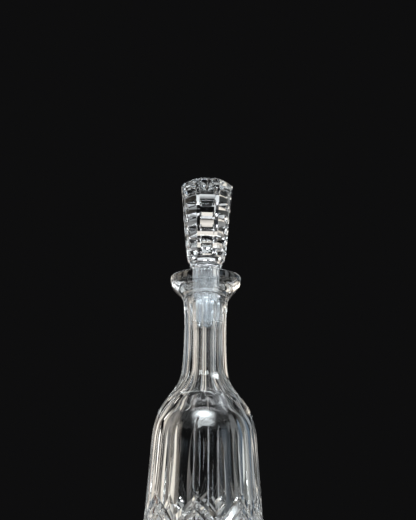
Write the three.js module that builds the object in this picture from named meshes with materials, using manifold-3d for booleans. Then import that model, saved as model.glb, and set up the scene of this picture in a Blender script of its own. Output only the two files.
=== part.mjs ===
// Cut crystal decanter: a blown vessel with a flared lip, a fluted neck and a body cut with
// tall wedges over a band of diamonds, closed by a solid octagonal glass stopper.
// Millimetres, +Z up, origin at the centre of the foot. The front faces -Y.

import * as THREE from 'three';
import { mergeVertices } from 'three/addons/utils/BufferGeometryUtils.js';
import Module from 'manifold-3d';

// ---- Driving dimensions --------------------------------------------------------------------

const FOOT_RADIUS = 45;
const FOOT_RECESS_RADIUS = 33;
const FOOT_RECESS_DEPTH = 1.6;
const HEEL_TOP = 6;
const WALL_BASE_RADIUS = 50;
const WALL_TOP = 97;
const WALL_TOP_RADIUS = 44.1;
const WALL_THICKNESS = 6.5;
const FLOOR_THICKNESS = 11;

const NECK_TOP = 216;
const LIP_HEIGHT = 240.5;
const LIP_RADIUS = 31.7;
const LIP_EDGE_RADIUS = 1.5;
const BORE_RADIUS = 9.3;
const FLUTE_COUNT = 10;
const FLUTE_RIDGE_AZIMUTH = -5.5;

const PATTERN_COUNT = 8;
const PATTERN_AZIMUTH = -7;
const DIAMOND_TOP = 56;
const DIAMOND_BOTTOM = 16;
const WEDGE_TOP = 110;
const WEDGE_DEPTH = 2.6;
const SLIM_WEDGE_DEPTH = 2;
const LOWER_WEDGE_DEPTH = 1.8;
const DIAMOND_CUT_DEPTH = 1.7;
const STAR_POINTS = 16;
const FOOT_STAR_DEPTH = 2.2;

const PLUG_BOTTOM = 194;
const PLUG_TOP = 224;
const PLUG_BOTTOM_RADIUS = 9.6;
const PLUG_TOP_RADIUS = 11.2;
const PLUG_GAP = 0.3;
const STEM_RADIUS = 11.6;
const STEM_TOP = 249;
const HEAD_BOTTOM = 254;
const HEAD_TOP = 328;
const HEAD_SIDES = 8;
const HEAD_BOTTOM_APOTHEM = 16.9;
const HEAD_TOP_APOTHEM = 23.5;
const HEAD_AZIMUTH = 2.5;
const HEAD_FIRST_CUT = 258.6;
const HEAD_CUT_COUNT = 6;
const HEAD_CUT_PITCH = 11.4;
const HEAD_CUT_DEPTH = 1.7;
const HEAD_CUT_HALF_ANGLE = 63;
const HEAD_CUT_SHARE = 0.92;
const CROWN_STAR_DEPTH = 1.6;

const VESSEL_SEGMENTS = 48;
const STOPPER_SEGMENTS = 24;
const CURVE_DIVISIONS = 4;
const MITRE_HALF_ANGLE = 58;
const CUTTER_HEADROOM = 2;

// ---- Solids --------------------------------------------------------------------------------

const wasm = await Module();
wasm.setup();

const radians = THREE.MathUtils.degToRad;

// Azimuth 0 is the front, -Y, and positive azimuths turn towards +X.
function azimuthToAngle(azimuth) {
  return radians(azimuth - 90);
}

function toSolid(source) {
  const bare = source.clone();
  bare.deleteAttribute('normal');
  bare.deleteAttribute('uv');
  const merged = mergeVertices(bare, 1e-4);
  const index = merged.index.array;
  const triangles = [];
  for (let i = 0; i < index.length; i += 3) {
    const [a, b, c] = [index[i], index[i + 1], index[i + 2]];
    if (a !== b && b !== c && c !== a) triangles.push(a, b, c);
  }
  return new wasm.Manifold(new wasm.Mesh({
    numProp: 3,
    vertProperties: new Float32Array(merged.attributes.position.array),
    triVerts: new Uint32Array(triangles),
  }));
}

function toGeometry(solid) {
  const mesh = solid.getMesh();
  const geometry = new THREE.BufferGeometry();
  geometry.setAttribute('position', new THREE.BufferAttribute(mesh.vertProperties, 3));
  geometry.setIndex(new THREE.BufferAttribute(mesh.triVerts, 1));
  geometry.computeVertexNormals();
  return geometry;
}

// Turns a path of (radius, height) points, drawn upwards along its outside, about +Z.
function turned(path, segments) {
  const points = path.getPoints(CURVE_DIVISIONS);
  return new THREE.LatheGeometry(points, segments).rotateX(Math.PI / 2);
}

// ---- Cutting wheels ------------------------------------------------------------------------

// A mitre cut is a V groove, deepest in the middle and running out at both ends.
// It lies along Z, opens towards +Y, and the glass surface is the plane Y = 0.
function mitreCutter({ length, depth, steps = 4, halfAngle = MITRE_HALF_ANGLE, runOut = 1 }) {
  const halfWidth = (depth + CUTTER_HEADROOM) * Math.tan(radians(halfAngle));
  const section = new THREE.Shape([
    new THREE.Vector2(0, -depth),
    new THREE.Vector2(halfWidth, CUTTER_HEADROOM),
    new THREE.Vector2(-halfWidth, CUTTER_HEADROOM),
  ]);
  const geometry = new THREE.ExtrudeGeometry(section, { depth: length, steps, bevelEnabled: false });
  geometry.translate(0, 0, -length / 2);
  const position = geometry.attributes.position;
  for (let i = 0; i < position.count; i += 1) {
    const along = position.getZ(i) / (length / 2);
    position.setY(i, position.getY(i) + runOut * depth * along * along);
  }
  return geometry;
}

function wallRadius(height) {
  const rise = (height - HEEL_TOP) / (WALL_TOP - HEEL_TOP);
  return THREE.MathUtils.lerp(WALL_BASE_RADIUS, WALL_TOP_RADIUS, rise);
}

// Lays a cutter on the unrolled wall, leaning by `lean` degrees, and rolls the wall up.
function wrappedOnWall(geometry, { azimuth, height, lean = 0 }) {
  const position = geometry.attributes.position;
  const cosine = Math.cos(radians(lean));
  const sine = Math.sin(radians(lean));
  for (let i = 0; i < position.count; i += 1) {
    const [across, out, along] = [position.getX(i), position.getY(i), position.getZ(i)];
    const z = height + along * cosine + across * sine;
    const turn = (along * sine - across * cosine) / wallRadius(height);
    const angle = azimuthToAngle(azimuth) + turn;
    const radius = wallRadius(z) + out;
    position.setXYZ(i, radius * Math.cos(angle), radius * Math.sin(angle), z);
  }
  return geometry;
}

function cutAway(solid, cutters) {
  return cutters.reduce((rest, cutter) => rest.subtract(toSolid(cutter)), solid);
}

// ---- Vessel --------------------------------------------------------------------------------

// The blown blank before cutting: foot, wall, shoulder, neck and the underside of the lip.
function vesselBlank() {
  const path = new THREE.Path();
  path.moveTo(0, FOOT_RECESS_DEPTH);
  path.quadraticCurveTo(FOOT_RECESS_RADIUS / 2, FOOT_RECESS_DEPTH, FOOT_RECESS_RADIUS, 0);
  path.lineTo(FOOT_RADIUS, 0);
  path.quadraticCurveTo(WALL_BASE_RADIUS - 0.3, 0.6, WALL_BASE_RADIUS, HEEL_TOP);
  path.lineTo(WALL_TOP_RADIUS, WALL_TOP);
  path.bezierCurveTo(43, 114, 39.6, 122.5, 35.4, 128.6);
  path.lineTo(27.9, 139.8);
  path.bezierCurveTo(23.6, 146.5, 19.6, 156, 19.5, 186);
  path.lineTo(19.5, NECK_TOP);
  path.bezierCurveTo(20.2, 226.5, 31.4, 225.5, LIP_RADIUS, LIP_HEIGHT - LIP_EDGE_RADIUS);
  const edgeCentre = LIP_RADIUS - LIP_EDGE_RADIUS;
  path.absarc(edgeCentre, LIP_HEIGHT - LIP_EDGE_RADIUS, LIP_EDGE_RADIUS, 0, Math.PI / 2, false);
  path.lineTo(0, LIP_HEIGHT);
  return turned(path, VESSEL_SEGMENTS);
}

// Everything that is air inside: chamber, bore, ground socket for the plug, and pouring funnel.
function vesselHollow() {
  const path = new THREE.Path();
  path.moveTo(0, FLOOR_THICKNESS);
  path.lineTo(wallRadius(24) - WALL_THICKNESS - 13, FLOOR_THICKNESS);
  path.quadraticCurveTo(
    wallRadius(12) - WALL_THICKNESS, FLOOR_THICKNESS,
    wallRadius(26) - WALL_THICKNESS, 26,
  );
  path.lineTo(WALL_TOP_RADIUS - WALL_THICKNESS, WALL_TOP);
  path.bezierCurveTo(36.8, 112, 33.5, 118, 28.5, 124.5);
  path.bezierCurveTo(16, 140, BORE_RADIUS, 146, BORE_RADIUS, 162);
  path.lineTo(BORE_RADIUS, PLUG_BOTTOM - 4);
  path.lineTo(PLUG_BOTTOM_RADIUS + PLUG_GAP, PLUG_BOTTOM - 2);
  path.lineTo(PLUG_TOP_RADIUS + PLUG_GAP, PLUG_TOP);
  path.lineTo(STEM_RADIUS + 1.6, PLUG_TOP + 1.8);
  path.bezierCurveTo(18, 230.5, 28, 231.5, LIP_RADIUS - 2 * LIP_EDGE_RADIUS, LIP_HEIGHT - 0.4);
  path.lineTo(LIP_RADIUS - 2 * LIP_EDGE_RADIUS, LIP_HEIGHT + 5);
  path.lineTo(0, LIP_HEIGHT + 5);
  return turned(path, VESSEL_SEGMENTS);
}

// One neck flute: the glass outside a flat face that follows the neck and flares at both ends.
function fluteCutter(azimuth) {
  const halfWidth = 12;
  const reach = 60;
  const face = new THREE.SplineCurve([
    new THREE.Vector2(33.6, 131.8),
    new THREE.Vector2(29, 136),
    new THREE.Vector2(25.2, 140.4),
    new THREE.Vector2(20.9, 148.8),
    new THREE.Vector2(18.3, 166),
    new THREE.Vector2(17.7, 185),
    new THREE.Vector2(17.9, 203),
    new THREE.Vector2(18.7, 212.5),
    new THREE.Vector2(21.6, 220),
  ]);
  const outline = new THREE.Shape(face.getPoints(14));
  outline.lineTo(reach, 220);
  outline.lineTo(reach, 131.8);
  const geometry = new THREE.ExtrudeGeometry(outline, { depth: 2 * halfWidth, bevelEnabled: false });
  geometry.translate(0, 0, -halfWidth);
  geometry.rotateX(Math.PI / 2);
  geometry.rotateZ(azimuthToAngle(azimuth));
  return geometry;
}

function neckFlutes() {
  const pitch = 360 / FLUTE_COUNT;
  const cutters = [];
  for (let i = 0; i < FLUTE_COUNT; i += 1) {
    cutters.push(fluteCutter(FLUTE_RIDGE_AZIMUTH + (i + 0.5) * pitch));
  }
  return cutters;
}

// Tall wedges: broad ones stand on the diamond points, slim ones drop between the diamonds.
function wallWedges() {
  const pitch = 360 / PATTERN_COUNT;
  const valley = (DIAMOND_TOP + DIAMOND_BOTTOM) / 2;
  const cutters = [];
  const addUpright = (azimuth, top, bottom, depth) => {
    const cutter = mitreCutter({ length: top - bottom, depth });
    cutters.push(wrappedOnWall(cutter, { azimuth, height: (top + bottom) / 2 }));
  };
  for (let i = 0; i < PATTERN_COUNT; i += 1) {
    const point = PATTERN_AZIMUTH + i * pitch;
    addUpright(point, WEDGE_TOP, DIAMOND_TOP - 2, WEDGE_DEPTH);
    addUpright(point + pitch / 2, WEDGE_TOP - 6, valley - 4, SLIM_WEDGE_DEPTH);
    addUpright(point + pitch / 2, valley + 4, HEEL_TOP - 1, LOWER_WEDGE_DEPTH);
  }
  return cutters;
}

// The diamond band: mitres leaning both ways, crossing between the points.
function diamondMitres() {
  const pitch = 360 / PATTERN_COUNT;
  const middle = (DIAMOND_TOP + DIAMOND_BOTTOM) / 2;
  const rise = DIAMOND_TOP - DIAMOND_BOTTOM;
  const run = radians(pitch) * wallRadius(middle);
  const lean = THREE.MathUtils.radToDeg(Math.atan2(run, rise));
  const length = 1.08 * Math.hypot(rise, run);
  const cutters = [];
  for (let i = 0; i < PATTERN_COUNT; i += 1) {
    for (const side of [-1, 1]) {
      const cutter = mitreCutter({ length, depth: DIAMOND_CUT_DEPTH, runOut: 0.8 });
      const azimuth = PATTERN_AZIMUTH + (i + 0.5) * pitch;
      cutters.push(wrappedOnWall(cutter, { azimuth, height: middle, lean: side * lean }));
    }
  }
  return cutters;
}

// Mitres crossing at the centre of a flat disc make a star; they open downwards or upwards.
function starCut({ points, radius, depth, height, upwards, azimuth }) {
  const cutters = [];
  for (let i = 0; i < points / 2; i += 1) {
    const cutter = mitreCutter({ length: 2 * radius, depth, steps: 2 });
    cutter.rotateX(upwards ? Math.PI / 2 : -Math.PI / 2);
    cutter.rotateZ(radians(azimuth + (i * 360) / points));
    cutter.translate(0, 0, height);
    cutters.push(cutter);
  }
  return cutters;
}

function decanterBody() {
  const footStar = starCut({
    points: STAR_POINTS,
    radius: FOOT_RECESS_RADIUS - 2,
    depth: FOOT_STAR_DEPTH,
    height: FOOT_RECESS_DEPTH * 0.8,
    upwards: false,
    azimuth: PATTERN_AZIMUTH,
  });
  let solid = toSolid(vesselBlank());
  solid = cutAway(solid, neckFlutes());
  solid = cutAway(solid, wallWedges());
  solid = cutAway(solid, diamondMitres());
  solid = cutAway(solid, footStar);
  return solid.subtract(toSolid(vesselHollow()));
}

// ---- Stopper -------------------------------------------------------------------------------

// The round part: ground plug with a dished end, stem, and a small collar under the head.
function stopperStem() {
  const path = new THREE.Path();
  path.moveTo(0, PLUG_BOTTOM + 2.5);
  path.quadraticCurveTo(PLUG_BOTTOM_RADIUS / 2, PLUG_BOTTOM + 2.5, PLUG_BOTTOM_RADIUS - 2.4, PLUG_BOTTOM);
  path.quadraticCurveTo(PLUG_BOTTOM_RADIUS, PLUG_BOTTOM, PLUG_BOTTOM_RADIUS, PLUG_BOTTOM + 2.4);
  path.lineTo(PLUG_TOP_RADIUS, PLUG_TOP);
  path.lineTo(STEM_RADIUS, PLUG_TOP + 2);
  path.lineTo(STEM_RADIUS, STEM_TOP);
  path.quadraticCurveTo(STEM_RADIUS + 0.6, STEM_TOP + 2, STEM_RADIUS + 2.6, STEM_TOP + 2.6);
  path.lineTo(STEM_RADIUS + 2.6, STEM_TOP + 4.2);
  path.lineTo(STEM_RADIUS + 2.6, HEAD_BOTTOM + 1);
  path.lineTo(0, HEAD_BOTTOM + 1);
  return turned(path, STOPPER_SEGMENTS);
}

// A round envelope that takes the corners off the lower end and the rim of the head.
function headEnvelope() {
  const path = new THREE.Path();
  path.moveTo(0, HEAD_BOTTOM);
  path.lineTo(STEM_RADIUS + 3, HEAD_BOTTOM);
  path.quadraticCurveTo(STEM_RADIUS + 5, HEAD_BOTTOM + 2.4, STEM_RADIUS + 6.2, HEAD_BOTTOM + 6);
  path.lineTo(STEM_RADIUS + 7.6, HEAD_BOTTOM + 12);
  path.lineTo(HEAD_TOP_APOTHEM + 4, HEAD_TOP - 4);
  path.lineTo(HEAD_TOP_APOTHEM - 0.4, HEAD_TOP);
  path.lineTo(0, HEAD_TOP);
  return turned(path, STOPPER_SEGMENTS);
}

function headApothem(height) {
  const rise = (height - HEAD_BOTTOM) / (HEAD_TOP - HEAD_BOTTOM);
  return THREE.MathUtils.lerp(HEAD_BOTTOM_APOTHEM, HEAD_TOP_APOTHEM, rise);
}

function headPrism() {
  const cornerFactor = 1 / Math.cos(Math.PI / HEAD_SIDES);
  const geometry = new THREE.CylinderGeometry(
    HEAD_TOP_APOTHEM * cornerFactor,
    HEAD_BOTTOM_APOTHEM * cornerFactor,
    HEAD_TOP - HEAD_BOTTOM,
    HEAD_SIDES,
  );
  geometry.rotateX(Math.PI / 2);
  geometry.rotateZ(azimuthToAngle(HEAD_AZIMUTH) + Math.PI / HEAD_SIDES);
  geometry.translate(0, 0, (HEAD_TOP + HEAD_BOTTOM) / 2);
  return geometry;
}

// Level mitres stacked up each face; they stop short of the arrises between faces.
function headCuts() {
  const faceTurn = 360 / HEAD_SIDES;
  const cutters = [];
  for (let side = 0; side < HEAD_SIDES; side += 1) {
    for (let row = 0; row < HEAD_CUT_COUNT; row += 1) {
      const height = HEAD_FIRST_CUT + row * HEAD_CUT_PITCH;
      const faceWidth = 2 * headApothem(height) * Math.tan(Math.PI / HEAD_SIDES);
      const cutter = mitreCutter({
        length: HEAD_CUT_SHARE * faceWidth,
        depth: HEAD_CUT_DEPTH,
        halfAngle: HEAD_CUT_HALF_ANGLE,
        steps: 2,
      });
      cutter.rotateZ(-Math.PI / 2);
      cutter.rotateX(Math.PI / 2);
      cutter.translate(headApothem(height), 0, height);
      cutter.rotateZ(azimuthToAngle(HEAD_AZIMUTH + side * faceTurn));
      cutters.push(cutter);
    }
  }
  return cutters;
}

function stopper() {
  const crownStar = starCut({
    points: HEAD_SIDES,
    radius: HEAD_TOP_APOTHEM - 2,
    depth: CROWN_STAR_DEPTH,
    height: HEAD_TOP,
    upwards: true,
    azimuth: azimuthToAngle(HEAD_AZIMUTH) * (180 / Math.PI),
  });
  let head = toSolid(headPrism()).intersect(toSolid(headEnvelope()));
  head = cutAway(head, headCuts());
  head = cutAway(head, crownStar);
  return head.add(toSolid(stopperStem()));
}

// ---- Assembly ------------------------------------------------------------------------------

function crystal(colour) {
  return new THREE.MeshStandardMaterial({ color: colour, roughness: 0.02, metalness: 0 });
}

const vesselMesh = new THREE.Mesh(toGeometry(decanterBody()), crystal(0xe8eef0));
vesselMesh.name = 'decanter_body';

const stopperMesh = new THREE.Mesh(toGeometry(stopper()), crystal(0xf2f6f8));
stopperMesh.name = 'stopper';

const decanter = new THREE.Group();
decanter.add(vesselMesh, stopperMesh);

export default decanter;
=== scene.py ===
import math

import bpy
import numpy as np
from mathutils import Matrix, Vector


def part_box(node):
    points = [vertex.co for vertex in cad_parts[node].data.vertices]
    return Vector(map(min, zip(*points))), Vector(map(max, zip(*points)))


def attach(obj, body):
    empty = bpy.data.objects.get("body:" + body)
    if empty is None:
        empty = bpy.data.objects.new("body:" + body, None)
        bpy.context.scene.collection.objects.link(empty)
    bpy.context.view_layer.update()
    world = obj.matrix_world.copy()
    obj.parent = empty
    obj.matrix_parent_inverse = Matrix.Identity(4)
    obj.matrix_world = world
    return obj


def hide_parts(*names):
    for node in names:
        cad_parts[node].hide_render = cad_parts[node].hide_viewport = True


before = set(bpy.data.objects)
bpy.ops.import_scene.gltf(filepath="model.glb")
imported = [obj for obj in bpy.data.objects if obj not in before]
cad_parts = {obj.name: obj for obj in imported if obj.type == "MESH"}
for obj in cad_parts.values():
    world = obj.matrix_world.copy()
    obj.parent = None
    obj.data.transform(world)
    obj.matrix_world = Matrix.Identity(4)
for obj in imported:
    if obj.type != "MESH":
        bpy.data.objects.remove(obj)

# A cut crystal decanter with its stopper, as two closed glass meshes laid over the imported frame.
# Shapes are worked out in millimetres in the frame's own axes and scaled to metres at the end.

MM = 0.001
SCENE = bpy.context.scene
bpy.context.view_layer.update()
VESSEL_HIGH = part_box("decanter_body")[1] / MM
STOPPER_LOW, STOPPER_HIGH = (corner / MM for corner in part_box("stopper"))

# ---- Driving dimensions, millimetres and degrees -------------------------------------------

FOOT_RADIUS = 45.0
RECESS_RADIUS = 33.0
RECESS_DEPTH = 1.6
HEEL_TOP = 6.0
WALL_BASE_RADIUS = VESSEL_HIGH.x - 0.02
WALL_TOP = 97.0
WALL_TOP_RADIUS = 44.1
WALL_THICKNESS = 6.5
FLOOR_HEIGHT = 11.0
SHOULDER_TOP = 128.6
SHOULDER_TOP_RADIUS = 35.4

NECK_TOP = 216.0
NECK_BLANK_RADIUS = 19.5
LIP_HEIGHT = VESSEL_HIGH.z
LIP_RADIUS = 31.7
LIP_EDGE = 1.5
BORE_RADIUS = 9.3
FLUTE_COUNT = 10
FLUTE_RIDGE_AZIMUTH = -5.5
FLUTE_HOLLOW_RADIUS = 32.0

PATTERN_COUNT = 8
PATTERN_AZIMUTH = -7.0
DIAMOND_TOP = 56.0
DIAMOND_BOTTOM = 16.0
CUT_START = 7.0
LEANING_CUTS = ((0, 1.8), (-9, 1.3), (-18, 1.0))
LEANING_CUT_REACH = 0.58
LEANING_CUT_HALF_ANGLE = 60
STAR_POINTS = 16
STAR_DEPTH = 2.2
STAR_HALF_ANGLE = 60

PLUG_BOTTOM = STOPPER_LOW.z
PLUG_TOP = 224.0
PLUG_BOTTOM_RADIUS = 9.6
PLUG_TOP_RADIUS = 11.2
PLUG_GAP = 0.3
STEM_RADIUS = 11.6
STEM_TOP = 249.0
HEAD_BOTTOM = 254.0
HEAD_TOP = STOPPER_HIGH.z - 0.02
HEAD_SIDES = 8
HEAD_BOTTOM_APOTHEM = 16.9
HEAD_TOP_APOTHEM = 23.5
HEAD_AZIMUTH = 2.5
HEAD_CUT_COUNT = 6
HEAD_CUT_PITCH = 11.4
HEAD_FIRST_CUT = 258.6
HEAD_CUT_DEPTH = 1.7
HEAD_CUT_HALF_ANGLE = 63
HEAD_CUT_SHARE = 0.92
HEAD_CUT_SQUARENESS = 10
HEAD_CUT_REACH = 9
CROWN_STAR_DEPTH = 1.6
CROWN_STAR_HALF_ANGLE = 62
ARRIS_SHARE = 0.975
BEVEL = 1.4

# ---- Mesh settings and the numbers of the smooth surfaces ----------------------------------

WALL_COLUMNS = 360
NECK_COLUMNS = 180
INSIDE_COLUMNS = 90
STOPPER_COLUMNS = 192
SNAP_SHARE = 0.12
LABEL_WALL, LABEL_STEM, LABEL_GROUND = 0, 10, 20
LABEL_HEAD, LABEL_NECK, LABEL_FOOT = 100, 300, 500
LABEL_INSIDE, LABEL_SOCKET = 900, 901
FAR_AWAY = 1000
NEARLY_EDGE_ON = 0.05

# ---- Floor, light and camera: metres, degrees and millimetres of lens -----------------------

FLOOR_RADIUS = 0.22
STAGE_HEIGHT = -0.0001
FLOOR_COLOUR = (0.36, 0.358, 0.352)
ROOM_COLOUR = (0.0044, 0.0044, 0.0046)
LIGHT_TARGET = Vector((0, 0, 0.17))
LIGHT_DISTANCE = 1.4
FEATHER = 0.3
CAMERA_DISTANCE = 0.5074
CAMERA_HEIGHT = 0.086
CAMERA_PITCH = 14.67
CAMERA_ROLL = 0.6
SENSOR_WIDTH = 36.0
LENS = 40.85
SHIFT_X = 0.0044
SHIFT_Y = 0.08


# ---- Profiles ------------------------------------------------------------------------------

def line(start, end):
    return lambda t: (1 - t) * np.array(start)[:, None] + t * np.array(end)[:, None]


def quadratic(start, control, end):
    a, b, c = (np.array(p, float)[:, None] for p in (start, control, end))
    return lambda t: (1 - t) ** 2 * a + 2 * t * (1 - t) * b + t ** 2 * c


def cubic(start, control_1, control_2, end):
    a, b, c, d = (np.array(p, float)[:, None] for p in (start, control_1, control_2, end))
    return lambda t: (
        (1 - t) ** 3 * a + 3 * t * (1 - t) ** 2 * b + 3 * t ** 2 * (1 - t) * c + t ** 3 * d)


def quarter_turn(centre, radius, start_angle):
    def arc(t):
        angle = start_angle + t * math.pi / 2
        return np.array([centre[0] + radius * np.cos(angle), centre[1] + radius * np.sin(angle)])
    return arc


def rows_along(pieces, spacing):
    """Points (radius, height) spaced evenly along a chain of profile pieces."""
    rows = []
    for piece in pieces:
        fine = piece(np.linspace(0, 1, 200))
        steps = np.hypot(*np.diff(fine))
        length = np.concatenate([[0], np.cumsum(steps)])
        count = max(1, math.ceil(length[-1] / spacing))
        at = np.linspace(0, length[-1], count + 1)
        points = np.stack([np.interp(at, length, fine[0]), np.interp(at, length, fine[1])], 1)
        rows.extend(points if not rows else points[1:])
    return np.array(rows)


def wall_radius(height):
    rise = (height - HEEL_TOP) / (WALL_TOP - HEEL_TOP)
    return WALL_BASE_RADIUS + (WALL_TOP_RADIUS - WALL_BASE_RADIUS) * rise


# ---- A mesh carved ray by ray --------------------------------------------------------------
# Every ray ends on the first of several smooth surfaces. Where neighbouring rays end on
# different surfaces the mesh is split exactly along the edge between the two, so each cut
# keeps a crisp arris and each face inside it stays smooth.

class Surface:
    """Vertices, triangles and the label of the smooth surface each triangle lies on.

    Points that fall together, as a whole row does at a pole, are joined in arrays()."""

    def __init__(self):
        self.points = []
        self.triangles = []
        self.labels = []
        self.count = 0

    def add_points(self, points):
        points = np.asarray(points, float).reshape(-1, 3)
        first = self.count
        self.points.append(points)
        self.count += len(points)
        return first + np.arange(len(points))

    def add_triangles(self, triangles, labels):
        triangles = np.asarray(triangles, int).reshape(-1, 3)
        labels = np.broadcast_to(np.asarray(labels, int), (len(triangles),))
        self.triangles.append(triangles)
        self.labels.append(labels)

    def add_ring(self, radius, height, columns):
        turn = column_angles(columns)
        points = np.stack([radius * np.cos(turn), radius * np.sin(turn), 0 * turn + height], 1)
        return self.add_points(points)

    def arrays(self):
        points, number = np.unique(np.concatenate(self.points).round(6), axis=0, return_inverse=True)
        triangles = number.ravel()[np.concatenate(self.triangles)]
        labels = np.concatenate(self.labels)
        whole = (
            (triangles[:, 0] != triangles[:, 1])
            & (triangles[:, 1] != triangles[:, 2])
            & (triangles[:, 2] != triangles[:, 0]))
        return points, triangles[whole], labels[whole]


def column_angles(columns):
    return (np.arange(columns) + 0.5) * 2 * math.pi / columns - math.pi / 2


def azimuths(columns):
    """Degrees from the front, -Y, turning towards +X."""
    return np.degrees(column_angles(columns)) + 90


def turn_from(azimuth, columns):
    """Signed angle in radians from an azimuth to every column."""
    return np.radians((azimuths(columns) - azimuth + 180) % 360 - 180)


def radial_rays(heights, columns):
    """Level rays out from the axis, one row of them at each height."""
    turn = column_angles(columns)
    heights = np.asarray(heights, float)
    origin = np.zeros((len(heights), columns, 3))
    origin[:, :, 2] = heights[:, None]
    direction = np.zeros_like(origin)
    direction[:, :, 0] = np.cos(turn)
    direction[:, :, 1] = np.sin(turn)
    return origin, direction


def carve(surface, origin, direction, groups, first_label=0):
    """Adds the carved grid to the surface and returns the vertex numbers of its rows.

    groups is a list of lists of distance arrays. A groove is a group of flanks: the largest
    distance in a group counts, and the smallest of all groups ends the ray."""
    stack = np.stack([member for group in groups for member in group])
    values = []
    indices = []
    start = 0
    for group in groups:
        part = stack[start:start + len(group)]
        values.append(part.max(0))
        indices.append(start + part.argmax(0))
        start += len(group)
    values = np.stack(values)
    best = values.argmin(0)
    reach = np.take_along_axis(values, best[None], 0)[0]
    main = np.take_along_axis(np.stack(indices), best[None], 0)[0]
    rows, columns = main.shape

    origin = origin.reshape(-1, 3)
    direction = direction.reshape(-1, 3)
    reach = reach.ravel()
    main = main.ravel()
    stack = stack.reshape(len(stack), -1)
    points = origin + reach[:, None] * direction

    def meeting(a, b):
        """Where the surfaces of two neighbouring rays meet: share of the way, point, found."""
        label_a, label_b = main[a], main[b]
        before = stack[label_a, a] - stack[label_b, a]
        after = stack[label_a, b] - stack[label_b, b]
        change = before - after
        found = (before * after <= 0) & (np.abs(change) > 1e-9)
        t = np.where(found, before / np.where(found, change, 1), 0.5)
        along = (1 - t) * stack[label_a, a] + t * stack[label_a, b]
        plain = (1 - t) * reach[a] + t * reach[b]
        distance = np.where(found, along, plain)[:, None]
        way = (1 - t)[:, None] * direction[a] + t[:, None] * direction[b]
        way /= np.linalg.norm(way, axis=1, keepdims=True)
        foot = (1 - t)[:, None] * origin[a] + t[:, None] * origin[b]
        return t, foot + distance * way, found

    grid = np.arange(rows * columns).reshape(rows, columns)
    right = np.roll(grid, -1, 1)
    level_edges = (grid, right)
    upright_edges = (grid[:-1], grid[1:])
    slanted_edges = (grid[:-1], right[1:])

    # A vertex very near an edge moves on to it, and then belongs to the surfaces on both sides.
    second = np.full(main.size, -1)
    snapped = points.copy()
    for first_end, second_end in (level_edges, upright_edges, slanted_edges):
        a, b = first_end.ravel(), second_end.ravel()
        mixed = main[a] != main[b]
        a, b = a[mixed], b[mixed]
        t, point, found = meeting(a, b)
        near_a = found & (t < SNAP_SHARE)
        near_b = found & (t > 1 - SNAP_SHARE)
        second[a[near_a]] = main[b[near_a]]
        snapped[a[near_a]] = point[near_a]
        second[b[near_b]] = main[a[near_b]]
        snapped[b[near_b]] = point[near_b]
    ids = surface.add_points(snapped)

    def crossings(ends):
        """Vertex numbers on the edges between rays that share no surface, -1 elsewhere."""
        a, b = ends[0].ravel(), ends[1].ravel()
        mixed = np.nonzero(shared_label(main[a], second[a], main[b], second[b]) < 0)[0]
        t, point, found = meeting(a[mixed], b[mixed])
        inside = ((t > SNAP_SHARE) & (t < 1 - SNAP_SHARE))[:, None]
        point = np.where(inside, point, (snapped[a[mixed]] + snapped[b[mixed]]) / 2)
        result = np.full(a.size, -1)
        result[mixed] = surface.add_points(point)
        return result.reshape(ends[0].shape)

    level = crossings(level_edges)
    upright = crossings(upright_edges)
    slanted = crossings(slanted_edges)
    lower = [grid[:-1], right[:-1], right[1:], level[:-1], np.roll(upright, -1, 1), slanted]
    upper = [grid[:-1], right[1:], grid[1:], slanted, level[1:], upright]
    for corner_a, corner_b, corner_c, cross_ab, cross_bc, cross_ca in (lower, upper):
        corners = np.stack([corner_a.ravel(), corner_b.ravel(), corner_c.ravel()], 1)
        crosses = np.stack([cross_ab.ravel(), cross_bc.ravel(), cross_ca.ravel()], 1)
        split_triangles(surface, corners, crosses, main, second, ids, first_label)
    return ids.reshape(rows, columns)


def shared_label(main_a, second_a, main_b, second_b):
    """A surface that two vertices both lie on, or -1."""
    by_second = (second_a >= 0) & ((second_a == main_b) | (second_a == second_b))
    return np.where((main_a == main_b) | (main_a == second_b), main_a, np.where(by_second, second_a, -1))


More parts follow.
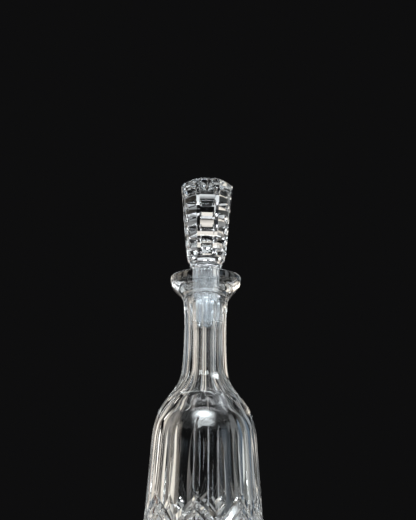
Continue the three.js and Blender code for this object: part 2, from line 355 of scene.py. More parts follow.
def split_triangles(surface, corners, crosses, main, second, ids, first_label):
    """Cuts each triangle where its corners lie on different surfaces."""
    first, other = main[corners], second[corners]
    kinds = (crosses >= 0).sum(1)
    whole_label = np.full(len(corners), -1)
    for candidate in (first[:, 0], other[:, 0]):
        fits = (candidate >= 0) & (whole_label < 0)
        for k in (1, 2):
            fits &= (candidate == first[:, k]) | (candidate == other[:, k])
        whole_label = np.where(fits, candidate, whole_label)
    whole_label = np.where((whole_label < 0) & (kinds == 0), first[:, 0], whole_label)
    whole = kinds == 0
    surface.add_triangles(ids[corners[whole]], first_label + whole_label[whole])

    for k in range(3):
        after, before = (k + 1) % 3, (k + 2) % 3

        # One side is crossed: cut from the crossing to the corner opposite.
        chosen = (kinds == 1) & (crosses[:, k] >= 0)
        corner = ids[corners[chosen]]
        middle = crosses[chosen, k]
        a, b, opposite = corner[:, k], corner[:, after], corner[:, before]
        for end, index, triangle in ((a, k, (a, middle, opposite)), (b, after, (middle, b, opposite))):
            label = shared_label(first[chosen, index], other[chosen, index],
                                 first[chosen, before], other[chosen, before])
            surface.add_triangles(np.stack(triangle, 1), first_label + label)

        # Two sides are crossed: cut off the odd corner.
        chosen = (kinds == 2) & (crosses[:, after] < 0)
        corner = ids[corners[chosen]]
        near, far = crosses[chosen, k], crosses[chosen, before]
        a, b, c = corner[:, k], corner[:, after], corner[:, before]
        label = shared_label(first[chosen, after], other[chosen, after],
                             first[chosen, before], other[chosen, before])
        surface.add_triangles(np.stack([a, near, far], 1), first_label + first[chosen, k])
        surface.add_triangles(np.stack([near, b, c], 1), first_label + label)
        surface.add_triangles(np.stack([near, c, far], 1), first_label + label)

    # All three sides are crossed: three surfaces meet in one point inside.
    chosen = kinds == 3
    if chosen.any():
        every = np.concatenate(surface.points)
        ring = crosses[chosen]
        middle = surface.add_points(every[ring].mean(1))
        corner = ids[corners[chosen]]
        label = first_label + first[chosen]
        for k in range(3):
            after, before = ring[:, k], ring[:, (k + 2) % 3]
            surface.add_triangles(np.stack([corner[:, k], after, middle], 1), label[:, k])
            surface.add_triangles(np.stack([corner[:, k], middle, before], 1), label[:, k])


def join_rings(surface, lower, upper, label):
    """A band between two rings; the upper one may have half as many columns."""
    lower, upper = np.asarray(lower), np.asarray(upper)
    next_upper = np.roll(upper, -1)
    if len(lower) == len(upper):
        next_lower = np.roll(lower, -1)
        surface.add_triangles(np.stack([lower, next_lower, next_upper], 1), label)
        surface.add_triangles(np.stack([lower, next_upper, upper], 1), label)
        return
    # Columns are half a step in, so each coarse vertex stands midway between a fine pair.
    first, second = lower[0::2], lower[1::2]
    following = np.roll(first, -1)
    surface.add_triangles(np.stack([first, second, upper], 1), label)
    surface.add_triangles(np.stack([second, following, upper], 1), label)
    surface.add_triangles(np.stack([following, next_upper, upper], 1), label)


def join_profile(surface, ring, rows, columns, label):
    """Carries a ring smoothly along more profile rows and returns the last ring."""
    for radius, height in rows:
        following = surface.add_ring(radius, height, columns)
        join_rings(surface, ring, following, label)
        ring = following
    return ring


def close_at_pole(surface, ring, height, label, inward):
    """Closes a ring with a fan to a point on the axis."""
    pole = surface.add_points([[0, 0, height]])[0]
    following = np.roll(ring, -1)
    fan = [ring, following] if inward else [following, ring]
    surface.add_triangles(np.stack([*fan, np.full(len(ring), pole)], 1), label)


# ---- Cuts on the wall ----------------------------------------------------------------------

def lens_depth(position, start, end, deepest, depth, power=2):
    """Depth along a cut that runs out at both ends and is deepest at one place between."""
    before = (deepest - position) / (deepest - start)
    after = (position - deepest) / (end - deepest)
    return depth * (1 - np.where(position < deepest, before, after) ** power)


def groove(blank, across, depth, half_angle):
    """Two flanks of a V groove in a surface that the rays meet at the blank distance."""
    slope = 1 / math.tan(math.radians(half_angle))
    return [blank - depth + slope * across, blank - depth - slope * across]


def nearest_turn(azimuth, repeat, columns):
    """Signed angle from the nearest of several evenly spaced azimuths to every column."""
    pitch = 360 / repeat
    offset = (azimuths(columns) - azimuth + pitch / 2) % pitch - pitch / 2
    return np.radians(offset)


def upright_cut(blank, heights, azimuth, bottom, top, deepest, depth, half_angle, columns):
    turn = nearest_turn(azimuth, PATTERN_COUNT, columns)
    across = blank * turn[None, :]
    deep = lens_depth(heights, bottom, top, deepest, depth)[:, None]
    return groove(blank, across, deep, half_angle)


def leaning_cut(blank, heights, side, offset, depth, columns):
    """Mitres that climb round the wall to one side, one through each diamond point."""
    pitch = 360 / PATTERN_COUNT
    middle = (DIAMOND_TOP + DIAMOND_BOTTOM) / 2
    rise = DIAMOND_TOP - DIAMOND_BOTTOM
    run = math.radians(pitch) * wall_radius(middle)
    lean = math.atan2(run, rise)
    climb = (heights - offset - middle) / rise
    layers = []
    for k in range(PATTERN_COUNT):
        azimuth = PATTERN_AZIMUTH + (k + 0.5) * pitch
        turn = turn_from(azimuth, columns)[None, :] - side * math.radians(pitch) * climb[:, None]
        turn = (turn + math.pi) % (2 * math.pi) - math.pi
        layers.append(turn)
    layers = np.stack(layers)
    turn = np.take_along_axis(layers, np.abs(layers).argmin(0)[None], 0)[0]
    across = blank * turn * math.cos(lean)
    lowest = max(-LEANING_CUT_REACH, (CUT_START - offset - middle) / rise)
    deepest = (lowest + LEANING_CUT_REACH) / 2
    deep = lens_depth(climb, lowest, LEANING_CUT_REACH, deepest, depth, 4)[:, None]
    return groove(blank, across, deep, LEANING_CUT_HALF_ANGLE)


def vessel_pattern(blank, heights, columns):
    """All cuts on the wall, as groups for carve."""
    pitch = 360 / PATTERN_COUNT
    point = PATTERN_AZIMUTH
    valley = point + pitch / 2
    middle = (DIAMOND_TOP + DIAMOND_BOTTOM) / 2
    groups = [
        upright_cut(blank, heights, point, DIAMOND_TOP - 2, 116, 88, 1.5, 75, columns),
        upright_cut(blank, heights, valley, middle - 6, 112, 62, 1.5, 72, columns),
        upright_cut(blank, heights, valley, CUT_START, middle + 1, 20, 2.0, 62, columns),
        upright_cut(blank, heights, point, CUT_START, DIAMOND_BOTTOM + 8, 14, 1.3, 62, columns),
    ]
    for side in (-1, 1):
        for offset, depth in LEANING_CUTS:
            groups.append(leaning_cut(blank, heights, side, offset, depth, columns))
    return groups


def flute_apothem(heights):
    """Distance from the axis to the middle of a flute, by height."""
    at = np.array([131.0, 133.0, 136.0, 140.4, 148.8, 158.0, 168.0, 185.0, 203.0, 211.0, 216.5, 221.0])
    apothem = np.array([34.6, 32.0, 28.0, 24.4, 20.3, 18.6, 17.8, 17.25, 17.4, 18.0, 19.6, 22.5])
    return smooth_through(at, apothem, heights)


def smooth_through(at, values, wanted):
    """A smooth curve through a few points (a natural cubic spline)."""
    n = len(at)
    gap = np.diff(at)
    system = np.eye(n)
    right = np.zeros(n)
    for i in range(1, n - 1):
        system[i, i - 1:i + 2] = gap[i - 1], 2 * (gap[i - 1] + gap[i]), gap[i]
        right[i] = 6 * ((values[i + 1] - values[i]) / gap[i] - (values[i] - values[i - 1]) / gap[i - 1])
    bend = np.linalg.solve(system, right)
    i = np.clip(np.searchsorted(at, wanted) - 1, 0, n - 2)
    left, over = at[i + 1] - wanted, wanted - at[i]
    h = gap[i]
    return (
        bend[i] * left ** 3 / (6 * h) + bend[i + 1] * over ** 3 / (6 * h)
        + (values[i] / h - bend[i] * h / 6) * left + (values[i + 1] / h - bend[i + 1] * h / 6) * over)


def neck_flutes(blank, heights, columns):
    groups = []
    pitch = 360 / FLUTE_COUNT
    centre = (flute_apothem(heights) + FLUTE_HOLLOW_RADIUS)[:, None]
    in_reach = (heights > 131.5) & (heights < 220.5)
    for k in range(FLUTE_COUNT):
        turn = turn_from(FLUTE_RIDGE_AZIMUTH + (k + 0.5) * pitch, columns)[None, :]
        under_root = FLUTE_HOLLOW_RADIUS ** 2 - (centre * np.sin(turn)) ** 2
        facing = (np.abs(turn) < math.radians(60)) & (under_root > 0) & in_reach[:, None]
        distance = centre * np.cos(turn) - np.sqrt(np.maximum(under_root, 0))
        groups.append([np.where(facing, distance, blank + 5)])
    return groups


# ---- Vessel --------------------------------------------------------------------------------

def foot_rays(radii, columns):
    """Rays straight down on to the foot."""
    turn = column_angles(columns)
    radii = np.asarray(radii, float)[:, None]
    origin = np.zeros((len(radii), columns, 3))
    origin[..., 0] = radii * np.cos(turn)
    origin[..., 1] = radii * np.sin(turn)
    origin[..., 2] = FLOOR_HEIGHT
    direction = np.zeros_like(origin)
    direction[..., 2] = -1
    return origin, direction


def vessel_surface():
    surface = Surface()

    # The foot: a shallow star-cut recess inside a flat resting ring.
    recess = quadratic((0, RECESS_DEPTH), (RECESS_RADIUS / 2, RECESS_DEPTH), (RECESS_RADIUS, 0))
    rows = rows_along([recess, line((RECESS_RADIUS, 0), (FOOT_RADIUS - 1, 0))], 2.4)
    origin, direction = foot_rays(rows[:, 0], WALL_COLUMNS)
    blank = np.repeat((FLOOR_HEIGHT - rows[:, 1])[:, None], WALL_COLUMNS, 1)
    turn = nearest_turn(PATTERN_AZIMUTH, STAR_POINTS, WALL_COLUMNS)[None, :]
    across = rows[:, :1] * np.sin(turn)
    deep = lens_depth(rows[:, 0], -RECESS_RADIUS + 1, RECESS_RADIUS - 1, 0.01, STAR_DEPTH)[:, None]
    star = groove(blank, across, deep, STAR_HALF_ANGLE)
    foot = carve(surface, origin, direction, [[blank], star], LABEL_FOOT)

    # The wall, carved with the whole pattern, up to the top of the shoulder's curve.
    heel = quadratic((FOOT_RADIUS - 1, 0), (WALL_BASE_RADIUS - 0.3, 0.4), (WALL_BASE_RADIUS, HEEL_TOP))
    heel_rows = rows_along([heel], 0.9)[1:-1]
    cut_top = DIAMOND_TOP + 3
    cut_wall = line((WALL_BASE_RADIUS, HEEL_TOP), (wall_radius(cut_top), cut_top))
    wall = line((wall_radius(cut_top), cut_top), (WALL_TOP_RADIUS, WALL_TOP))
    shoulder = cubic((WALL_TOP_RADIUS, WALL_TOP), (43, 114), (39.6, 122.5),
                     (SHOULDER_TOP_RADIUS, SHOULDER_TOP))
    wall_rows = np.concatenate([
        rows_along([cut_wall], 0.85), rows_along([wall], 2.4)[1:], rows_along([shoulder], 1.7)[1:]])
    ring = join_profile(surface, foot[-1], heel_rows, WALL_COLUMNS, LABEL_WALL)
    origin, direction = radial_rays(wall_rows[:, 1], WALL_COLUMNS)
    blank = np.repeat(wall_rows[:, :1], WALL_COLUMNS, 1)
    groups = [[blank], *vessel_pattern(blank, wall_rows[:, 1], WALL_COLUMNS)]
    wall_ids = carve(surface, origin, direction, groups)
    join_rings(surface, ring, wall_ids[0], LABEL_WALL)

    # The neck, carved with its flutes.
    cone = line((SHOULDER_TOP_RADIUS, SHOULDER_TOP), (27.9, 139.8))
    flare = cubic((27.9, 139.8), (23.6, 146.5), (19.6, 156), (NECK_BLANK_RADIUS, 186))
    straight = line((NECK_BLANK_RADIUS, 186), (NECK_BLANK_RADIUS, NECK_TOP))
    lip = cubic((NECK_BLANK_RADIUS, NECK_TOP), (20.2, 226.5), (31.4, 225.5),
                (LIP_RADIUS, LIP_HEIGHT - LIP_EDGE))
    neck_rows = np.concatenate([
        rows_along([cone], 0.8)[1:], rows_along([flare, straight], 2.0)[1:], rows_along([lip], 0.8)[1:]])
    fluted = neck_rows[:, 1] < 222
    lip_rows = neck_rows[~fluted]
    neck_rows = neck_rows[fluted]
    origin, direction = radial_rays(neck_rows[:, 1], NECK_COLUMNS)
    blank = np.repeat(neck_rows[:, :1], NECK_COLUMNS, 1)
    groups = [[blank], *neck_flutes(blank, neck_rows[:, 1], NECK_COLUMNS)]
    neck_ids = carve(surface, origin, direction, groups, LABEL_NECK)
    join_rings(surface, wall_ids[-1], neck_ids[0], LABEL_WALL)

    # Over the rounded lip and down inside: funnel, ground socket, bore and chamber.
    edge_centre = (LIP_RADIUS - LIP_EDGE, LIP_HEIGHT - LIP_EDGE)
    inner_edge = LIP_RADIUS - 2 * LIP_EDGE
    edge = [
        quarter_turn(edge_centre, LIP_EDGE, 0),
        quarter_turn(edge_centre, LIP_EDGE, math.pi / 2),
    ]
    socket_mouth = (PLUG_TOP_RADIUS + PLUG_GAP, PLUG_TOP)
    funnel = [
        cubic((inner_edge, LIP_HEIGHT - LIP_EDGE), (28, 232.5), (19.5, 231), (16.2, PLUG_TOP + 4.4)),
        quadratic((16.2, PLUG_TOP + 4.4), (15.4, PLUG_TOP + 1.6), (13.6, PLUG_TOP + 1.5)),
        quadratic((13.6, PLUG_TOP + 1.5), (12.2, PLUG_TOP + 1.5), socket_mouth),
    ]
    edge_rows = rows_along(edge, 0.5)[1:]
    funnel_rows = rows_along(funnel, 1.1)[1:]
    ring = join_profile(surface, neck_ids[-1], lip_rows, NECK_COLUMNS, LABEL_NECK)
    ring = join_profile(surface, ring, edge_rows, NECK_COLUMNS, LABEL_NECK)
    ring = join_profile(surface, ring, funnel_rows, NECK_COLUMNS, LABEL_NECK)

    socket_foot = (PLUG_BOTTOM_RADIUS + PLUG_GAP + 0.3, PLUG_BOTTOM + 5)
    socket = line(socket_mouth, socket_foot)
    ring = join_profile(surface, ring, rows_along([socket], 2.0)[1:], NECK_COLUMNS, LABEL_SOCKET)
    chamber_wall = wall_radius(26) - WALL_THICKNESS
    inside = [
        line(socket_foot, (PLUG_BOTTOM_RADIUS + PLUG_GAP, PLUG_BOTTOM - 1)),
        quadratic((PLUG_BOTTOM_RADIUS + PLUG_GAP, PLUG_BOTTOM - 1), (BORE_RADIUS, PLUG_BOTTOM - 3),
                  (BORE_RADIUS, PLUG_BOTTOM - 6)),
        line((BORE_RADIUS, PLUG_BOTTOM - 6), (BORE_RADIUS, 162)),
        cubic((BORE_RADIUS, 162), (BORE_RADIUS, 146), (16, 140), (28.5, 124.5)),
        cubic((28.5, 124.5), (33.5, 118), (36.8, 112), (WALL_TOP_RADIUS - WALL_THICKNESS, WALL_TOP)),
        line((WALL_TOP_RADIUS - WALL_THICKNESS, WALL_TOP), (chamber_wall, 26)),
        quadratic((chamber_wall, 26), (chamber_wall + 0.9, FLOOR_HEIGHT), (29.4, FLOOR_HEIGHT)),
        line((29.4, FLOOR_HEIGHT), (2, FLOOR_HEIGHT)),
    ]
    inside_rows = rows_along(inside, 2.2)[1:]
    ring = join_profile(surface, ring, inside_rows[:1], NECK_COLUMNS, LABEL_INSIDE)
    ring = join_profile(surface, ring, inside_rows[1:], INSIDE_COLUMNS, LABEL_INSIDE)
    close_at_pole(surface, ring, FLOOR_HEIGHT, LABEL_INSIDE, inward=True)
    return surface


# ---- Stopper -------------------------------------------------------------------------------

def plane_distance(origin, direction, normal, offset):
    """Distance along every ray to the plane normal . point = offset."""
    facing = direction @ normal
    distance = (offset - origin @ normal) / np.where(facing > NEARLY_EDGE_ON, facing, 1)
    return np.where(facing > NEARLY_EDGE_ON, distance, FAR_AWAY)


def head_face(azimuth, inset=0.0):
    """Outward normal and offset of a leaning face of the head."""
    rise = HEAD_TOP - HEAD_BOTTOM
    lean = math.atan2(HEAD_TOP_APOTHEM - HEAD_BOTTOM_APOTHEM, rise)
    angle = math.radians(azimuth - 90)
    normal = np.array([math.cos(angle) * math.cos(lean), math.sin(angle) * math.cos(lean), -math.sin(lean)])
    on_face = np.array([
        HEAD_TOP_APOTHEM * math.cos(angle),
        HEAD_TOP_APOTHEM * math.sin(angle),
        HEAD_TOP,
    ])
    return normal, normal @ on_face - inset, lean


def head_groups(origin, direction):
    """Faces, arris flats, step cuts, crown and round lower end of the head."""
    groups = []
    pitch = 360 / HEAD_SIDES
    half_pitch = math.radians(pitch / 2)
    for side in range(HEAD_SIDES):
        azimuth = HEAD_AZIMUTH + side * pitch
        normal, offset, lean = head_face(azimuth)
        groups.append([plane_distance(origin, direction, normal, offset)])
        groups.extend(face_cuts(origin, direction, azimuth, normal, offset, lean, half_pitch))
        # The narrow flat ground along the arris to the next face.
        angle = math.radians(azimuth + pitch / 2 - 90)
        lean_corner = math.atan(math.tan(lean) / math.cos(half_pitch))
        corner = HEAD_TOP_APOTHEM / math.cos(half_pitch) * ARRIS_SHARE
        flat = np.array([
            math.cos(angle) * math.cos(lean_corner),
            math.sin(angle) * math.cos(lean_corner),
            -math.sin(lean_corner),
        ])
        on_flat = np.array([corner * math.cos(angle), corner * math.sin(angle), HEAD_TOP])
        groups.append([plane_distance(origin, direction, flat, flat @ on_flat)])
        # The bevel round the crown, along this face and across the arris.
        for out, edge in ((math.radians(azimuth - 90), HEAD_TOP_APOTHEM), (angle, corner)):
            bevel = np.array([math.cos(out), math.sin(out), 1.0]) / math.sqrt(2)
            inner = edge - BEVEL
            on_bevel = np.array([inner * math.cos(out), inner * math.sin(out), HEAD_TOP])
            groups.append([plane_distance(origin, direction, bevel, bevel @ on_bevel)])
        # One ray of the crown's star, a groove with its deep end at the centre.
        groups.append(crown_ray(origin, direction, azimuth))
    up = np.array([0.0, 0.0, 1.0])
    groups.append([plane_distance(origin, direction, up, HEAD_TOP)])
    return groups


def face_cuts(origin, direction, azimuth, normal, offset, lean, half_pitch):
    """Level V cuts stacked up one face, nearly square ended at the arrises."""
    angle = math.radians(azimuth - 90)
    along = np.array([-math.sin(angle), math.cos(angle), 0.0])
    up = np.array([math.cos(angle) * math.sin(lean), math.sin(angle) * math.sin(lean), math.cos(lean)])
    face = plane_distance(origin, direction, normal, offset)
    hit = origin + face[..., None] * direction
    facing = direction @ normal
    slope = 1 / math.tan(math.radians(HEAD_CUT_HALF_ANGLE))
    groups = []
    for row in range(HEAD_CUT_COUNT):
        height = HEAD_FIRST_CUT + row * HEAD_CUT_PITCH
        share = (height - HEAD_BOTTOM) / (HEAD_TOP - HEAD_BOTTOM)
        apothem = HEAD_BOTTOM_APOTHEM + (HEAD_TOP_APOTHEM - HEAD_BOTTOM_APOTHEM) * share
        centre = np.array([apothem * math.cos(angle), apothem * math.sin(angle), height])
        half_width = HEAD_CUT_SHARE * apothem * math.tan(half_pitch)
        side_share = np.abs((hit - centre) @ along) / half_width
        depth = HEAD_CUT_DEPTH * (1 - side_share ** HEAD_CUT_SQUARENESS)
        rise = (hit - centre) @ up
        away = (face == FAR_AWAY) | (np.abs(rise) > HEAD_CUT_REACH) | (side_share > 1.2)
        flanks = [
            face - (depth - slope * rise) / np.where(facing > NEARLY_EDGE_ON, facing, 1),
            face - (depth + slope * rise) / np.where(facing > NEARLY_EDGE_ON, facing, 1),
        ]
        groups.append([np.where(away, FAR_AWAY, flank) for flank in flanks])
    return groups


def crown_ray(origin, direction, azimuth):
    angle = math.radians(azimuth - 90)
    along = np.array([math.cos(angle), math.sin(angle), 0.0])
    across = np.array([-math.sin(angle), math.cos(angle), 0.0])
    up = np.array([0.0, 0.0, 1.0])
    top = plane_distance(origin, direction, up, HEAD_TOP)
    hit = origin + top[..., None] * direction
    outward = hit @ along
    depth = CROWN_STAR_DEPTH * (1 - (outward / (HEAD_TOP_APOTHEM - 0.5)) ** 2)
    slope = 1 / math.tan(math.radians(CROWN_STAR_HALF_ANGLE))
    sideways = hit @ across
    away = (top == FAR_AWAY) | (outward < 0)
    facing = np.where(direction[..., 2] > NEARLY_EDGE_ON, direction[..., 2], 1)
    flanks = [top - (depth - slope * sideways) / facing, top - (depth + slope * sideways) / facing]
    return [np.where(away, FAR_AWAY, flank) for flank in flanks]


def head_rays(columns):
    """Level rays up the head, then a fan over the crown's edge, then upright rays to the axis."""
    core = 5.0
    turn = column_angles(columns)
    out = np.stack([np.cos(turn), np.sin(turn), 0 * turn], 1)
    up = np.array([0.0, 0.0, 1.0])
    rows = []
    level_top = HEAD_TOP - core
    for height in np.linspace(HEAD_BOTTOM + 1, level_top, 150):
        rows.append((0 * out + height * up, out))
    core_radius = HEAD_TOP_APOTHEM - core
    for tilt in np.linspace(0, math.pi / 2, 26)[1:-1]:
        way = math.cos(tilt) * out + math.sin(tilt) * up
        rows.append((core_radius * out + level_top * up, way))
    for radius in np.linspace(core_radius, 0, 22):
        rows.append((radius * out + level_top * up, 0 * out + up))
    origin = np.stack([row[0] for row in rows])
    direction = np.stack([row[1] for row in rows])
    return origin, direction


def stopper_surface():
    surface = Surface()
    dish = [
        quadratic((0, PLUG_BOTTOM + 0.9), (1.6, PLUG_BOTTOM + 0.9), (2.8, PLUG_BOTTOM + 0.02)),
        cubic((2.8, PLUG_BOTTOM + 0.02), (6.2, PLUG_BOTTOM), (PLUG_BOTTOM_RADIUS - 0.2, PLUG_BOTTOM + 2.4),
              (PLUG_BOTTOM_RADIUS + 0.25, PLUG_BOTTOM + 7.0)),
    ]
    dish_rows = rows_along(dish, 0.8)[1:]
    first = surface.add_ring(*dish_rows[0], STOPPER_COLUMNS)
    close_at_pole(surface, first, PLUG_BOTTOM + 0.9, LABEL_GROUND, inward=False)
    ring = join_profile(surface, first, dish_rows[1:], STOPPER_COLUMNS, LABEL_GROUND)
    plug = [line((PLUG_BOTTOM_RADIUS + 0.25, PLUG_BOTTOM + 7.0), (PLUG_TOP_RADIUS, PLUG_TOP))]
    ring = join_profile(surface, ring, rows_along(plug, 1.0)[1:], STOPPER_COLUMNS, LABEL_GROUND + 1)
    stem = [
        line((PLUG_TOP_RADIUS, PLUG_TOP), (STEM_RADIUS, PLUG_TOP + 2)),
        line((STEM_RADIUS, PLUG_TOP + 2), (STEM_RADIUS, STEM_TOP)),
        quadratic((STEM_RADIUS, STEM_TOP), (STEM_RADIUS + 0.6, STEM_TOP + 2),
                  (STEM_RADIUS + 2.6, STEM_TOP + 2.6)),
    ]
    ring = join_profile(surface, ring, rows_along(stem, 0.9)[1:], STOPPER_COLUMNS, LABEL_STEM)
    collar = [line((STEM_RADIUS + 2.6, STEM_TOP + 2.6), (STEM_RADIUS + 2.6, STEM_TOP + 4.2))]
    ring = join_profile(surface, ring, rows_along(collar, 0.8)[1:], STOPPER_COLUMNS, LABEL_STEM + 1)

    origin, direction = head_rays(STOPPER_COLUMNS)
    groups = head_groups(origin, direction)
    level = direction[..., 2] < 0.01
    underside = [(STEM_RADIUS + 3.2, HEAD_BOTTOM + 0.6), (STEM_RADIUS + 5.0, HEAD_BOTTOM + 2.4),
                 (STEM_RADIUS + 6.2, HEAD_BOTTOM + 6.0), (STEM_RADIUS + 7.6, HEAD_BOTTOM + 12.0),
                 (STEM_RADIUS + 10.0, HEAD_BOTTOM + 20.0), (STEM_RADIUS + 40.0, HEAD_TOP)]
    radius, height = np.array(underside).T
    envelope = np.where(level, np.interp(origin[..., 2], height, radius), FAR_AWAY)
    groups.append([envelope])
    head = carve(surface, origin, direction, groups, LABEL_HEAD)
    join_rings(surface, ring, head[0], LABEL_STEM + 2)
    return surface


# ---- From surfaces to Blender objects ------------------------------------------------------

def mesh_object(name, surface, materials, material_of):
    points, triangles, labels = surface.arrays()
    mesh = bpy.data.meshes.new(name)
    mesh.from_pydata(points * MM, [], triangles.tolist())
    for material in materials:
        mesh.materials.append(material)
    mesh.polygons.foreach_set("material_index", material_of(labels).astype(np.int32))
    mesh.polygons.foreach_set("use_smooth", np.ones(len(triangles), bool))
    mark_sharp(mesh, triangles, labels)
    mesh.validate()
    mesh.update()
    piece = bpy.data.objects.new(name, mesh)
    SCENE.collection.objects.link(piece)
    return piece


def mark_sharp(mesh, triangles, labels):
    """Edges between two surfaces are arrises; all others are smooth."""
    loops = np.zeros(len(mesh.loops), np.int32)
    mesh.loops.foreach_get("edge_index", loops)
    owner = np.repeat(labels, 3)
    low = np.full(len(mesh.edges), 10 ** 6)
    high = np.full(len(mesh.edges), -1)
    np.minimum.at(low, loops, owner)
    np.maximum.at(high, loops, owner)
    sharp = mesh.attributes.new("sharp_edge", "BOOLEAN", "EDGE")
    sharp.data.foreach_set("value", low != high)


# ---- Materials -----------------------------------------------------------------------------

def node(tree, kind, **values):
    made = tree.nodes.new(kind)
    for key, value in values.items():
        if key in made.inputs:
            made.inputs[key].default_value = value
        else:
            setattr(made, key, value)
    return made


def crystal_material(name, tint, roughness, ior=1.545):
    material = bpy.data.materials.new(name)
    material.use_nodes = True
    tree = material.node_tree
    shader = tree.nodes["Principled BSDF"]
    shader.inputs["Base Color"].default_value = tint
    shader.inputs["Transmission Weight"].default_value = 1.0
    shader.inputs["IOR"].default_value = ior
    shader.inputs["Roughness"].default_value = roughness
    return material, tree, shader


def polished_crystal(name):
    """Clear lead crystal with faint cords in the melt and the odd wipe mark."""
    material, tree, shader = crystal_material(name, (0.985, 0.992, 0.99, 1), 0.0)
    place = node(tree, "ShaderNodeTexCoord")
    cords = node(tree, "ShaderNodeTexNoise", Scale=38.0, Detail=2.0, Roughness=0.4, Distortion=0.6)
    stretch = node(tree, "ShaderNodeMapping")
    stretch.inputs["Scale"].default_value = (1, 1, 0.25)
    tree.links.new(place.outputs["Object"], stretch.inputs["Vector"])
    tree.links.new(stretch.outputs["Vector"], cords.inputs["Vector"])
    bump = node(tree, "ShaderNodeBump", Strength=0.05, Distance=0.0004)
    tree.links.new(cords.outputs["Fac"], bump.inputs["Height"])
    tree.links.new(bump.outputs["Normal"], shader.inputs["Normal"])
    marks = node(tree, "ShaderNodeTexNoise", Scale=90.0, Detail=4.0, Roughness=0.6)
    tree.links.new(place.outputs["Object"], marks.inputs["Vector"])
    film = node(tree, "ShaderNodeMapRange")
    film.inputs["From Min"].default_value = 0.58
    film.inputs["From Max"].default_value = 0.9
    film.inputs["To Min"].default_value = 0.0
    film.inputs["To Max"].default_value = 0.12
    tree.links.new(marks.outputs["Fac"], film.inputs["Value"])
    tree.links.new(film.outputs["Result"], shader.inputs["Roughness"])
    return material


def ground_glass(name, roughness, clearest, whitest):
    """Glass ground matt on the wheel: fine grain, and faint upright streaks of whiter glass."""
    material, tree, shader = crystal_material(name, (0.92, 0.96, 1.0, 1), roughness)
    place = node(tree, "ShaderNodeTexCoord")
    stretch = node(tree, "ShaderNodeMapping")
    stretch.inputs["Scale"].default_value = (1, 1, 0.07)
    streaks = node(tree, "ShaderNodeTexNoise", Scale=420.0, Detail=3.0, Roughness=0.6)
    tree.links.new(place.outputs["Object"], stretch.inputs["Vector"])
    tree.links.new(stretch.outputs["Vector"], streaks.inputs["Vector"])
    grain = node(tree, "ShaderNodeTexNoise", Scale=1600.0, Detail=3.0)
    tree.links.new(place.outputs["Object"], grain.inputs["Vector"])
    bump = node(tree, "ShaderNodeBump", Strength=0.3, Distance=0.0001)
    tree.links.new(grain.outputs["Fac"], bump.inputs["Height"])
    tree.links.new(bump.outputs["Normal"], shader.inputs["Normal"])
    clearness = node(tree, "ShaderNodeMapRange")
    clearness.inputs["From Min"].default_value = 0.35
    clearness.inputs["From Max"].default_value = 0.65
    clearness.inputs["To Min"].default_value = clearest
    clearness.inputs["To Max"].default_value = whitest
    tree.links.new(streaks.outputs["Fac"], clearness.inputs["Value"])
    tree.links.new(clearness.outputs["Result"], shader.inputs["Transmission Weight"])
    return material


# ---- Pieces --------------------------------------------------------------------------------

clear = polished_crystal("clear_crystal")
ground = ground_glass("ground_crystal", 0.12, 1.0, 0.5)
satin = ground_glass("satin_crystal", 0.1, 0.98, 0.72)

vessel = mesh_object(
    "vessel_glass", vessel_surface(), [clear, satin],
    lambda labels: (labels == LABEL_SOCKET).astype(int))
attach(vessel, "vessel")
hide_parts("decanter_body")

stopper = mesh_object(
    "stopper_glass", stopper_surface(), [clear, ground, satin],
    lambda labels: np.select([labels == LABEL_STEM, labels // 10 == LABEL_GROUND // 10], [2, 1]))
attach(stopper, "stopper_piece")
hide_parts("stopper")


# ---- Stage, light and camera ---------------------------------------------------------------

def stage_material(name, colour, roughness=0.8):
    material = bpy.data.materials.new(name)
    material.use_nodes = True
    shader = material.node_tree.nodes["Principled BSDF"]
    shader.inputs["Base Color"].default_value = (*colour, 1)
    shader.inputs["Roughness"].default_value = roughness
    return material


def disc(name, radius, height, material, segments=96):
    turn = np.arange(segments) * 2 * math.pi / segments
    points = np.stack([radius * np.cos(turn), radius * np.sin(turn), 0 * turn + height], 1)
    mesh = bpy.data.meshes.new(name)
    mesh.from_pydata(points.tolist(), [], [list(range(segments))])
    mesh.materials.append(material)
    made = bpy.data.objects.new(name, mesh)
    SCENE.collection.objects.link(made)
    return made


def feather_edges(light, feather):
    """Fades the light out towards its edges, as a lamp behind a diffuser does."""
    light.use_nodes = True
    tree = light.node_tree
    place = node(tree, "ShaderNodeNewGeometry")
    sides = node(tree, "ShaderNodeSeparateXYZ")
    tree.links.new(place.outputs["Parametric"], sides.inputs["Vector"])
    fades = []
    for axis in "XY":
        from_edge = node(tree, "ShaderNodeMath", operation="PINGPONG")
        from_edge.inputs[1].default_value = 0.5
        tree.links.new(sides.outputs[axis], from_edge.inputs[0])
        fade = node(tree, "ShaderNodeMapRange", interpolation_type="SMOOTHSTEP")
        fade.inputs["From Max"].default_value = feather
        tree.links.new(from_edge.outputs["Value"], fade.inputs["Value"])
        fades.append(fade)
    both = node(tree, "ShaderNodeMath", operation="MULTIPLY")
    for socket, fade in zip(both.inputs, fades):
        tree.links.new(fade.outputs["Result"], socket)
    tree.links.new(both.outputs["Value"], tree.nodes["Emission"].inputs["Strength"])


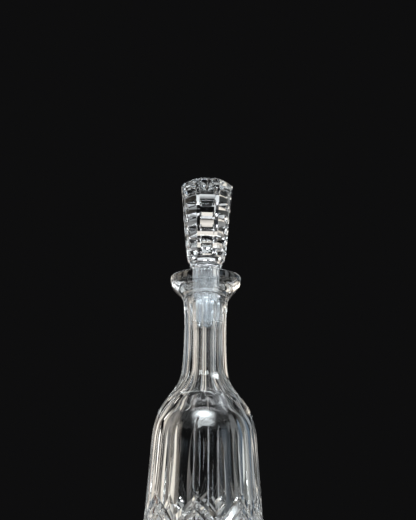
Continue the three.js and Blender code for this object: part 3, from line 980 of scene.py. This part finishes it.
def softbox(name, azimuth, elevation, width, height, radiance, colour=(1, 1, 1), feather=FEATHER):
    """A soft light aimed at the decanter; its place and size are angles seen from there."""
    turn, rise = math.radians(azimuth), math.radians(elevation)
    way = Vector((math.sin(turn) * math.cos(rise), -math.cos(turn) * math.cos(rise), math.sin(rise)))
    light = bpy.data.lights.new(name, "AREA")
    light.shape = "RECTANGLE"
    light.size = 2 * LIGHT_DISTANCE * math.tan(math.radians(width / 2))
    light.size_y = 2 * LIGHT_DISTANCE * math.tan(math.radians(height / 2))
    light.energy = radiance * math.pi * light.size * light.size_y
    light.color = colour
    feather_edges(light, feather)
    made = bpy.data.objects.new(name, light)
    made.location = LIGHT_TARGET + LIGHT_DISTANCE * way
    made.rotation_euler = (-way).to_track_quat("-Z", "Y").to_euler()
    made.visible_camera = False
    SCENE.collection.objects.link(made)
    return made


# The floor is a hair below the foot, so that the two never share a plane.
disc("floor", FLOOR_RADIUS, STAGE_HEIGHT, stage_material("pale_floor", FLOOR_COLOUR))

world = bpy.data.worlds.new("dark_room")
world.use_nodes = True
world.node_tree.nodes["Background"].inputs["Color"].default_value = (*ROOM_COLOUR, 1)
world.node_tree.nodes["Background"].inputs["Strength"].default_value = 1.0
SCENE.world = world

# The room: a black backdrop straight behind, a cream wall to its left, a cool one to its right.
softbox("backdrop_edge_left", -163, 8, 12, 50, 0.2, (1, 0.94, 0.9))
softbox("wall_left_far", -149, 8, 18, 56, 1.0, (1, 0.93, 0.83))
softbox("red_strip", -139, 4, 2.2, 26, 0.4, (1, 0.42, 0.28), 0.2)
softbox("white_strip", -130, 14, 5, 56, 2.4, (1, 0.95, 0.88))
softbox("wall_left_mid", -117, 8, 20, 56, 0.75, (1, 0.92, 0.81))
softbox("wall_left_near", -94, 8, 26, 50, 1.6, (1, 0.91, 0.78))
softbox("wall_right_far", 146, 8, 20, 56, 0.4, (0.9, 0.96, 1))
softbox("wall_right_mid", 122, 8, 26, 56, 0.22, (0.58, 0.78, 1))
softbox("wall_right_near", 95, 8, 26, 50, 0.8, (0.94, 1, 0.97))
softbox("stopper_glow_low", 180, 26.5, 60, 3, 1.0, (0.93, 0.97, 1), 0.3)
softbox("stopper_glow_middle", 180, 32, 60, 4, 0.95, (1, 0.95, 0.88), 0.3)
softbox("stopper_glow_high", 180, 37.5, 60, 3, 0.9, (0.93, 0.97, 1), 0.3)
softbox("ceiling_back", 180, 74, 60, 18, 4, (0.92, 0.98, 1))
softbox("ceiling_right", 105, 62, 50, 24, 1.5, (0.88, 0.92, 1))
softbox("key", -2, 37, 58, 26, 34, (0.91, 0.97, 1), 0.5)
softbox("ceiling_front", 0, 80, 60, 10, 4, (0.94, 0.96, 1))
softbox("ceiling_fill", 0, 66, 60, 16, 0.7, (0.94, 0.96, 1))
softbox("side_left", -68, 12, 22, 50, 2.6, (1, 0.91, 0.79))
softbox("side_right", 68, 12, 18, 50, 2.0, (0.94, 0.98, 1))
softbox("front_strip_left", -14, 6, 4, 40, 4, (0.92, 0.96, 1))
softbox("front_strip_right", 9, 6, 3, 40, 4, (0.85, 0.92, 1))
softbox("front_right", 45, 5, 26, 34, 0.9, (0.72, 0.86, 1))

# The camera stands below the rim and looks up a little.
camera_data = bpy.data.cameras.new("camera")
camera_data.sensor_width = SENSOR_WIDTH
camera_data.lens = LENS
camera_data.shift_x = SHIFT_X
camera_data.shift_y = SHIFT_Y
camera_data.clip_start = 0.01
camera = bpy.data.objects.new("camera", camera_data)
SCENE.collection.objects.link(camera)
camera.location = (0, -CAMERA_DISTANCE, CAMERA_HEIGHT)
turned = (
    Matrix.Rotation(math.radians(90 + CAMERA_PITCH), 4, "X")
    @ Matrix.Rotation(math.radians(CAMERA_ROLL), 4, "Z"))
camera.matrix_world = Matrix.Translation(camera.location) @ turned
SCENE.camera = camera

SCENE.view_settings.view_transform = "Standard"
SCENE.cycles.max_bounces = 32
SCENE.cycles.transmission_bounces = 32
SCENE.cycles.glossy_bounces = 16
